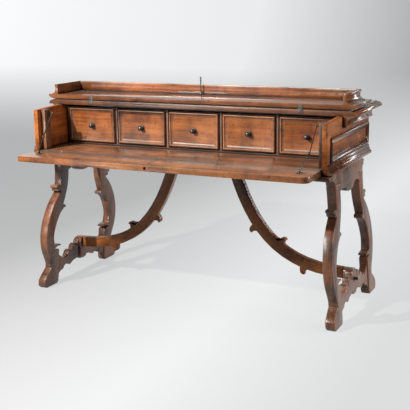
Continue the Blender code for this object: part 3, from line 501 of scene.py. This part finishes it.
# Case: walnut sides with a raised panel frame and planted mouldings, a floor, a back and a base
# rail. A fluted batten stands inside each side's front edge, where the closed fall comes to rest.
CASE_EDGE = 0.0010
BATTEN_EDGE = 0.0006
BOARD_EDGE = 0.0012
UPWARD = 0.9
case_walnut = walnut("case_walnut", ALONG_Y, (0.070, 0.020, 0.006), (0.45, 0.148, 0.036),
                     gloss=0.46, shine=0.12)
moulding_walnut = walnut("moulding_walnut", ALONG_Y, (0.040, 0.013, 0.005), (0.24, 0.086, 0.029),
                         gloss=0.13, bump=0.0, wear=0.1, uneven=0.1)
board_walnut = walnut("board_walnut", ALONG_X, (0.055, 0.018, 0.007), (0.25, 0.092, 0.032))
floor_polish = walnut("floor_polish", ALONG_X, (0.055, 0.020, 0.008), (0.30, 0.115, 0.044),
                      gloss=0.18, bump=0.2, wear=0.4, dust=0.04)
# The right batten is finished far darker than the left one.
batten_walnut = {
    "left": walnut("left_batten_walnut", ALONG_Z, (0.06, 0.024, 0.012), (0.26, 0.115, 0.058)),
    "right": walnut("right_batten_walnut", ALONG_Z, (0.012, 0.007, 0.005), (0.085, 0.042, 0.022))}


def faces_up(face):
    return face.normal.z > UPWARD


for word in SIDES:
    worn(word + "_side", "walnut", case_walnut, CASE_EDGE)
    for part in ("base_moulding", "panel_moulding", "frieze"):
        worn(word + "_" + part, "walnut", moulding_walnut, CASE_EDGE)
    worn(word + "_stop_batten", "walnut", batten_walnut[word], BATTEN_EDGE)
case_floor = worn("case_floor", "dark_walnut", board_walnut, BOARD_EDGE)
second_finish(case_floor, floor_polish, faces_up)
for part in ("case_back", "front_base_rail"):
    worn(part, "dark_walnut", board_walnut, BOARD_EDGE)

# Drawers: five fronts of bright walnut, each with a moulded frame round its panel and an open box
# of plain boards behind it. They slide in a nest of thin boards that stands on the case's floor.
DRAWER_NAMES = ["drawer_%d" % number for number in range(1, 6)]
DRAWER_EDGE = 0.0008
FRONT_FRAME = 0.0285
FORWARD = -0.5
# The nest is darkened more in its corners and recesses, as dark wax and painted shade.
bank_walnut = walnut("bank_walnut", ALONG_Z, (0.034, 0.012, 0.006), (0.18, 0.068, 0.028), wax_and_shade=1.5)
panel_walnut = walnut("panel_walnut", ALONG_X, (0.12, 0.033, 0.008), (0.39, 0.138, 0.037),
                      gloss=0.36, shift=(0, 0.05, 0.31), shine=0.35)
# The frame is paler and greyer than the panel of the same wood, a painted highlight, and is
# darkened hard in its grooves, as dark wax and painted shade.
frame_painted_highlight_walnut = walnut("frame_painted_highlight_walnut", ALONG_X, (0.070, 0.028, 0.014), (0.36, 0.155, 0.070),
                      gloss=0.28, shift=(0.4, 0.25, 0.11), bump=0.12, wear=1.3, wax_and_shade=1.6)
box_walnut = walnut("box_walnut", ALONG_Y, (0.10, 0.045, 0.022), (0.30, 0.15, 0.075), gloss=0.42)
worn("drawer_bank", "dark_walnut", bank_walnut, CASE_EDGE)
for name in DRAWER_NAMES:
    front = worn(name + "_front", "drawer_walnut", frame_painted_highlight_walnut, DRAWER_EDGE)
    low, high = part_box(name + "_front")

    def in_panel(face):
        spot = face.center
        return (low[0] + FRONT_FRAME < spot.x < high[0] - FRONT_FRAME
                and low[2] + FRONT_FRAME < spot.z < high[2] - FRONT_FRAME
                and face.normal.y < FORWARD)

    second_finish(front, panel_walnut, in_panel)
    worn(name + "_box", "dark_walnut", box_walnut, DRAWER_EDGE)

# Knobs: a turned iron ball on a waisted neck, which comes out of a lobed rosette of brighter iron
# on each front. The neck's tang goes through the front and is clenched behind it.
TURNED_SMOOTH = math.radians(50)
KNOB_BASE = -0.0124
KNOB_DROP = 0.003
KNOB_STEPS = [(0.0064, 0.0), (0.0062, 0.0022), (0.0046, 0.0034), (0.0040, 0.0062),
              (0.0046, 0.0086), (0.0072, 0.0098), (0.0102, 0.0122), (0.0118, 0.0152),
              (0.0122, 0.0182), (0.0115, 0.0214), (0.0094, 0.0243), (0.0062, 0.0262),
              (0.0024, 0.0270)]
KNOB_SIDES = 28
ROSETTE_STEPS = [(0.0152, -0.0002), (0.0152, 0.0010), (0.0122, 0.0017), (0.0098, 0.0012),
                 (0.0078, 0.0022), (0.0060, 0.0024)]
ROSETTE_SIDES = 32
LOBE_SIDES = 4
LOBES_FROM = 0.011
NOTCH = (0.82, 0.82, 1)
FACING_FRONT = [("X", -90)]
bright_iron = iron("bright_iron", 0.35, 0.85)


def turned(name, steps, sides):
    """A turned piece that stands up from the origin; steps are its radii and heights."""
    bpy.ops.object.select_all(action="DESELECT")
    bpy.ops.mesh.primitive_circle_add(vertices=sides, radius=steps[0][0], fill_type="NGON",
                                      location=(0, 0, 0))
    piece = bpy.context.object
    piece.name = name
    edit_whole()
    bpy.ops.transform.translate(value=(0, 0, steps[0][1]))
    for before, step in zip(steps, steps[1:]):
        rise = (0, 0, step[1] - before[1])
        bpy.ops.mesh.extrude_region_move(TRANSFORM_OT_translate={"value": rise})
        share = step[0] / before[0]
        bpy.ops.transform.resize(value=(share, share, 1), center_override=(0, 0, step[1]))
    bpy.ops.mesh.select_all(action="SELECT")
    bpy.ops.mesh.normals_make_consistent(inside=False)
    bpy.ops.object.mode_set(mode="OBJECT")
    bpy.ops.object.shade_smooth_by_angle(angle=TURNED_SMOOTH)
    return piece


def moved_copy(pattern, name, place, turns=()):
    """A copy with its own mesh, turned about the origin and then moved, in edit mode."""
    select_only(pattern)
    bpy.ops.object.duplicate()
    piece = bpy.context.object
    piece.name = name
    edit_whole()
    for axis, degrees in turns:
        bpy.ops.transform.rotate(value=math.radians(degrees), orient_axis=axis,
                                 center_override=(0, 0, 0))
    bpy.ops.transform.translate(value=place)
    bpy.ops.object.mode_set(mode="OBJECT")
    return piece


knob = turned("knob", KNOB_STEPS, KNOB_SIDES)
rosette = turned("rosette", ROSETTE_STEPS, ROSETTE_SIDES)
bpy.ops.object.mode_set(mode="EDIT")
bpy.ops.mesh.select_all(action="DESELECT")
bpy.ops.object.mode_set(mode="OBJECT")
for corner in rosette.data.vertices:
    bearing = math.atan2(corner.co.y, corner.co.x) / (2 * math.pi) * ROSETTE_SIDES
    corner.select = corner.co.xy.length > LOBES_FROM and round(bearing) % LOBE_SIDES == 0
bpy.ops.object.mode_set(mode="EDIT")
bpy.ops.mesh.select_mode(type="VERT")
bpy.ops.transform.resize(value=NOTCH, center_override=(0, 0, 0))
bpy.ops.object.mode_set(mode="OBJECT")
for name in DRAWER_NAMES:
    low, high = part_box(name + "_front")
    place = ((low[0] + high[0]) / 2, KNOB_BASE, (low[2] + high[2]) / 2 - KNOB_DROP)
    settle(moved_copy(knob, name + "_turned_knob", place, FACING_FRONT), name, "iron", old_iron,
           name + "_knob")
    settle(moved_copy(rosette, name + "_rosette", place, FACING_FRONT), name, "iron", bright_iron)
bpy.data.objects.remove(knob)
bpy.data.objects.remove(rosette)

# Top: a walnut plank with a moulded edge, in two halves. The rear half is fixed to the case, and
# the front half is the lid, which lies folded back on it, upside down, with its moulded skirt
# standing up. The two edges along the fold have worn round.
TOP_EDGE = 0.0014
FOLD_LINE = -0.0545
FOLD_LEVELS = (0.9985, 1.003)
FOLD_REACH = 0.5
HAIR = 0.0005
MOULDED_FROM = 0.772
END_SLOPE = 0.05
top_walnut = walnut("top_walnut", ALONG_X, (0.055, 0.019, 0.008), (0.26, 0.094, 0.032), gloss=0.24,
                    shift=(0.3, 0.11, -0.83), dust=0.10, wax_and_shade=1.4)
fixed_walnut = walnut("fixed_walnut", ALONG_X, (0.036, 0.014, 0.007), (0.165, 0.062, 0.026),
                      gloss=0.24, shift=(0.8, 0.2, -0.83), dust=0.10, wax_and_shade=1.4)
lid_polish = walnut("lid_polish", ALONG_X, (0.060, 0.022, 0.009), (0.34, 0.130, 0.052), gloss=0.07,
                    shift=(0.3, 0.11, -0.83), bump=0.10, wear=0.4, dust=0.03)
skirt_walnut = walnut("skirt_walnut", ALONG_X, (0.060, 0.020, 0.007), (0.32, 0.116, 0.038),
                      gloss=0.12, shift=(0.5, 0.31, -0.83), bump=0.06)


def beside_the_fold(spot):
    return (abs(spot.y - FOLD_LINE) < HAIR and FOLD_LEVELS[0] < spot.z < FOLD_LEVELS[1]
            and abs(spot.x) < FOLD_REACH)


def moulded_end(face):
    return abs(face.center.x) > MOULDED_FROM and abs(face.normal.x) > END_SLOPE


fixed_top = worn("fixed_top", "walnut", fixed_walnut, TOP_EDGE, eased=beside_the_fold)
second_finish(fixed_top, moulding_walnut, moulded_end)
lid_board = worn("lid_board", "walnut", top_walnut, TOP_EDGE, eased=beside_the_fold)
second_finish(lid_board, lid_polish, faces_up)
second_finish(lid_board, moulding_walnut, moulded_end)
lid_skirt = worn("lid_skirt", "walnut", skirt_walnut, CASE_EDGE)
second_finish(lid_skirt, moulding_walnut, moulded_end)

# Lid irons: two hinges of thin rusty leaf, each leaf held by three bright nails, join the lid to
# the fixed top. The hasp is a forged pin that turns on the lid and drops into the closed fall.
LEAF_EDGE = 0.0002
HASP_EDGE = 0.0003
LEAF_FACE = -0.0561
HINGE_OUT = 0.5782
NAIL_STEP = 0.0080
NAIL_STEPS = [(0.0022, -0.0003), (0.0022, 0.0001), (0.0015, 0.00035)]
NAIL_SIDES = 12
LEAF_NAILS = {"fixed": ("case", 0.9836, 0.9925), "moving": ("lid", 1.0180, 1.0091)}
rusty_iron = iron("rusty_iron", 1.0, 0.2)
for word in SIDES:
    for part in ("lid_hinge_fixed_leaf", "lid_hinge_moving_leaf"):
        worn(word + "_" + part, "iron", rusty_iron, LEAF_EDGE)
worn("lid_hasp", "iron", old_iron, HASP_EDGE)
nail = turned("nail", NAIL_STEPS, NAIL_SIDES)
for word, side in SIDES.items():
    for part, (body, far, near) in LEAF_NAILS.items():
        spots = ((-NAIL_STEP, far), (NAIL_STEP, far), (0, near))
        for number, (step, level) in enumerate(spots):
            head = moved_copy(nail, "%s_%s_leaf_nail_%d" % (word, part, number),
                              (side * HINGE_OUT + step, LEAF_FACE, level), FACING_FRONT)
            settle(head, body, "iron", bright_iron)
bpy.data.objects.remove(nail)

# Fall: the front board, a walnut plank that lies open as the writing surface. Its upper face is
# polished by use, and a split runs in from its front edge.
FALL_EDGE = 0.0018
SPLIT_START = (-0.036, -0.4622)
SPLIT_END = (-0.060, -0.262)
SPLIT_BENDS = 34.0
SPLIT_WANDER = 0.024
SPLIT_HALF_WIDTH = (0.0056, 0.0024)
SPLIT_FADE = (1.0, 0.9)
SPLIT_TINT = (0.012, 0.006, 0.003)
fall_walnut = walnut("fall_walnut", ALONG_X, (0.075, 0.026, 0.009), (0.31, 0.116, 0.031),
                     gloss=0.30, shift=(0.7, 0.25, -0.62), wear=1.3)
fall_polish = walnut("fall_polish", ALONG_X, (0.075, 0.027, 0.011), (0.39, 0.148, 0.045),
                     gloss=0.11, shift=(1.9, 0.47, -0.62), bump=0.25, wear=0.5, dust=0.10)


def split(finish, start, end):
    """A dark crack in a finish, from one place to another on the board's face, in x and y."""
    tree = finish.node_tree
    shader = tree.nodes["Principled BSDF"]
    wood = shader.inputs["Base Color"].links[0].from_socket
    polish = shader.inputs["Roughness"].links[0].from_socket
    place = own_place(tree)
    parts = add_node(tree, "SeparateXYZ", Vector=place)
    run = spread(tree, parts.outputs["Y"], start[1], end[1])
    middle = spread(tree, run, 0, 1, start[0] - SPLIT_WANDER / 2, end[0] - SPLIT_WANDER / 2)
    line = plus(tree, middle, times(tree, clouds(tree, place, SPLIT_BENDS, 3.0), SPLIT_WANDER))
    away = sum_of(tree, "ABSOLUTE", sum_of(tree, "SUBTRACT", parts.outputs["X"], line))
    crack = times(tree, spread(tree, away, *SPLIT_HALF_WIDTH), spread(tree, run, *SPLIT_FADE))
    feed(tree, shader, Base_Color=blend_of(tree, "MIX", crack, wood, SPLIT_TINT),
         Roughness=sum_of(tree, "MAXIMUM", polish, crack))


split(fall_polish, SPLIT_START, SPLIT_END)
fall_board = worn("fall_board", "walnut", fall_walnut, FALL_EDGE)
second_finish(fall_board, fall_polish, faces_up)

# Fall irons: thin leaves hinge the fall along the floor's front edge. On each side a stay of two
# forged iron links folds out from the batten to a foot plate on the fall, and holds it level.
for word in SIDES:
    for part in ("fall_hinge_fixed_leaf", "fall_hinge_moving_leaf"):
        worn(word + "_" + part, "iron", old_iron, LEAF_EDGE)
    for part in ("stay_upper", "stay_lower", "stay_foot"):
        worn(word + "_" + part, "iron", old_iron, IRON_EDGE)

# Stay fittings: domed rivets close the stays' joints, four clout nails hold each foot plate, and
# an oval iron plate with two nails backs each upper pivot on its batten.
RIVET_STEPS = [(0.0048, -0.0004), (0.0048, 0.0006), (0.0038, 0.0020), (0.0016, 0.0028)]
RIVET_SIDES = 16
CLOUT_STEPS = [(0.0030, -0.0005), (0.0030, 0.0003), (0.0022, 0.0012), (0.0008, 0.0016)]
CLOUT_SIDES = 14
OVAL_HOLE = 0.0034
OVAL_SIDES = 28
OVAL_SPREAD = (4.6, 2.7, 1)
OVAL_THICKNESS = 0.0014
ELBOW = (-0.3053, 0.8373)
PIVOT = (-0.2128, 0.9449)
PIVOT_UPPER_NAIL = (-0.2128, 0.9562)
PIVOT_LOWER_NAIL = (-0.2128, 0.9336)
ELBOW_INNER = 0.7059
ELBOW_OUTER = 0.7125
PIVOT_INNER = 0.7095
BATTEN_FACE = 0.7346
OVAL_FACE = 0.7332
FOOT_MIDDLE = (0.689, -0.3777)
FOOT_FACE = 0.7618
FOOT_NAIL_STEP = 0.0094
FOOT_CORNERS = ((-1, -1), (1, -1), (1, 1), (-1, 1))
rivet = turned("rivet", RIVET_STEPS, RIVET_SIDES)
clout = turned("clout", CLOUT_STEPS, CLOUT_SIDES)
bpy.ops.object.select_all(action="DESELECT")
bpy.ops.mesh.primitive_circle_add(vertices=OVAL_SIDES, radius=OVAL_HOLE, fill_type="NOTHING",
                                  location=(0, 0, 0))
oval = bpy.context.object
edit_whole()
bpy.ops.mesh.extrude_edges_move()
bpy.ops.transform.resize(value=OVAL_SPREAD, center_override=(0, 0, 0))
bpy.ops.mesh.select_all(action="SELECT")
bpy.ops.mesh.extrude_region_move(TRANSFORM_OT_translate={"value": (0, 0, OVAL_THICKNESS)})
bpy.ops.mesh.select_all(action="SELECT")
bpy.ops.mesh.normals_make_consistent(inside=False)
bpy.ops.object.mode_set(mode="OBJECT")
for word, side in SIDES.items():
    inward = [("Y", 90 * side)]
    outward = [("Y", -90 * side)]
    upper, lower = word + "_upper_link", word + "_lower_link"
    for name, pattern, body, out, (along, level), turns, finish in (
            ("elbow_inner_rivet", rivet, lower, ELBOW_INNER, ELBOW, inward, bright_iron),
            ("elbow_outer_rivet", rivet, upper, ELBOW_OUTER, ELBOW, outward, bright_iron),
            ("pivot_rivet", rivet, upper, PIVOT_INNER, PIVOT, inward, bright_iron),
            ("pivot_plate", oval, "case", BATTEN_FACE, PIVOT, inward, rusty_iron),
            ("pivot_upper_nail", clout, "case", OVAL_FACE, PIVOT_UPPER_NAIL, inward, old_iron),
            ("pivot_lower_nail", clout, "case", OVAL_FACE, PIVOT_LOWER_NAIL, inward, old_iron)):
        fitting = moved_copy(pattern, word + "_" + name, (side * out, along, level), turns)
        settle(fitting, body, "iron", finish)
    for number, (out, along) in enumerate(FOOT_CORNERS):
        head = moved_copy(clout, "%s_foot_nail_%d" % (word, number),
                          (side * FOOT_MIDDLE[0] + out * FOOT_NAIL_STEP,
                           FOOT_MIDDLE[1] + along * FOOT_NAIL_STEP, FOOT_FACE))
        settle(head, "fall", "iron", old_iron)
for pattern in (rivet, clout, oval):
    bpy.data.objects.remove(pattern)

# Studio: a pale paper sweep runs up behind the bureau. A small hard lamp and a soft fill stand at
# the front left, soft boxes on the left and right, one of them low, and two strips behind, which
# edge the mouldings and the braces.
FLOOR_SIZE = (30, 16, 1)
FLOOR_SHIFT = (0, -4, 0)
SWEEP_BACK = 4
SWEEP_RADIUS = 3.0
SWEEP_STEPS = 16
WALL_RISE = 6
PAPER_COLOUR = (0.080, 0.081, 0.082, 1)
PAPER_ROUGHNESS = 0.9
PAPER_GLOW = (0.97, 0.99, 1.0, 1)
# The paper glows as painted light: a pool, brighter in the middle and fainter to the sides, which
# the camera and polish see.
# Each glow is a product of two ramps across the room: from x, to x, and the share at each.
FLOOR_GLOW = ((-1.5, 0.2, 0.41, 0.755), (0.3, 1.1, 1.0, 0.80))
WALL_GLOW = ((-7.0, -2.5, 0.97, 0.81), (-2.3, 0.0, 1.0, 0.43))
MIRRORED_GLOW = (1.2, 2.4, 1.0, 0.08)
WALL_FULL_FROM = 0.7
bpy.ops.object.select_all(action="DESELECT")
bpy.ops.mesh.primitive_plane_add(size=1, location=(0, 0, 0))
sweep = bpy.context.object
sweep.name = "paper_sweep"
edit_whole()
bpy.ops.transform.resize(value=FLOOR_SIZE)
bpy.ops.transform.translate(value=FLOOR_SHIFT)
pick_edges(sweep, lambda spot: spot.y > 0)
bpy.ops.mesh.spin(steps=SWEEP_STEPS, angle=math.radians(-90), center=(0, SWEEP_BACK, SWEEP_RADIUS),
                  axis=(1, 0, 0))
bpy.ops.mesh.extrude_region_move(TRANSFORM_OT_translate={"value": (0, 0, WALL_RISE)})
bpy.ops.object.mode_set(mode="OBJECT")
bpy.ops.object.shade_smooth()
paper, tree, shader = new_finish("pale_paper")
ray = tree.nodes.new("ShaderNodeLightPath")
across = add_node(tree, "SeparateXYZ", Vector=own_place(tree))
rise = spread(tree, across.outputs["Z"], 0.0, WALL_FULL_FROM)
glows = []
for first, second in (FLOOR_GLOW, WALL_GLOW):
    glows.append(times(tree, spread(tree, across.outputs["X"], *first),
                       spread(tree, across.outputs["X"], *second)))
glow = plus(tree, times(tree, glows[0], sum_of(tree, "SUBTRACT", 1.0, rise)),
            times(tree, glows[1], rise))
mirrored = sum_of(tree, "MAXIMUM", ray.outputs["Is Glossy Ray"], ray.outputs["Is Transmission Ray"])
mirrored = times(tree, mirrored, spread(tree, across.outputs["X"], *MIRRORED_GLOW))
seen = sum_of(tree, "MAXIMUM", ray.outputs["Is Camera Ray"], mirrored)
feed(tree, shader, Base_Color=PAPER_COLOUR, Roughness=PAPER_ROUGHNESS, Emission_Color=PAPER_GLOW,
     Emission_Strength=times(tree, seen, glow))
sweep.data.materials.append(paper)


def soft_box(name, place, aim, size, power, colour=(1, 1, 1), sheen_only=False):
    """A rectangular lamp that faces a point; one for sheen only is seen in polish and lights
    nothing."""
    lamp = bpy.data.lights.new(name, "AREA")
    lamp.shape = "RECTANGLE"
    lamp.size, lamp.size_y = size
    lamp.energy = power
    lamp.color = colour
    holder = bpy.data.objects.new(name, lamp)
    bpy.context.scene.collection.objects.link(holder)
    holder.visible_diffuse = not sheen_only
    holder.location = place
    holder.rotation_euler = (Vector(aim) - Vector(place)).to_track_quat("-Z", "Y").to_euler()


CASE_FRONT = (-0.2, 0, 0.8)
WARM = (1, 0.94, 0.86)
soft_box("key_lamp", (-1.42, -2.42, 2.62), CASE_FRONT, (0.11, 0.11), 182, WARM)
soft_box("front_fill", (-1.0, -3.2, 2.2), CASE_FRONT, (0.5, 0.5), 26, WARM)
soft_box("left_box", (-2.1, -3.3, 0.72), CASE_FRONT, (0.45, 0.5), 26, sheen_only=True)
soft_box("right_box", (3.4, -0.4, 2.0), (0.2, 0, 0.8), (1.6, 1.4), 34, (1, 0.92, 0.84))
soft_box("low_box", (4.2, 1.8, 1.05), (-0.3, 0, 0.5), (0.8, 0.8), 110, (1, 0.95, 0.90))
soft_box("brace_strip", (1.72, 3.3, 0.92), (0.3, 0, 0.5), (0.24, 0.7), 3.5, sheen_only=True)
soft_box("back_strip", (1.75, 3.3, 1.45), (0.5, 0, 0.8), (1.3, 0.16), 7, sheen_only=True)

ROOM_COLOUR = (0.93, 0.96, 1.0, 1)
ROOM_LIGHT = 0.24
ROOM_SEEN = 0.70
world = bpy.data.worlds.new("studio")
bpy.context.scene.world = world
world.use_nodes = True
tree = world.node_tree
ray = tree.nodes.new("ShaderNodeLightPath")
feed(tree, tree.nodes["Background"], Color=ROOM_COLOUR,
     Strength=spread(tree, ray.outputs["Is Camera Ray"], 0, 1, ROOM_LIGHT, ROOM_SEEN))
bpy.context.scene.view_settings.view_transform = "Standard"
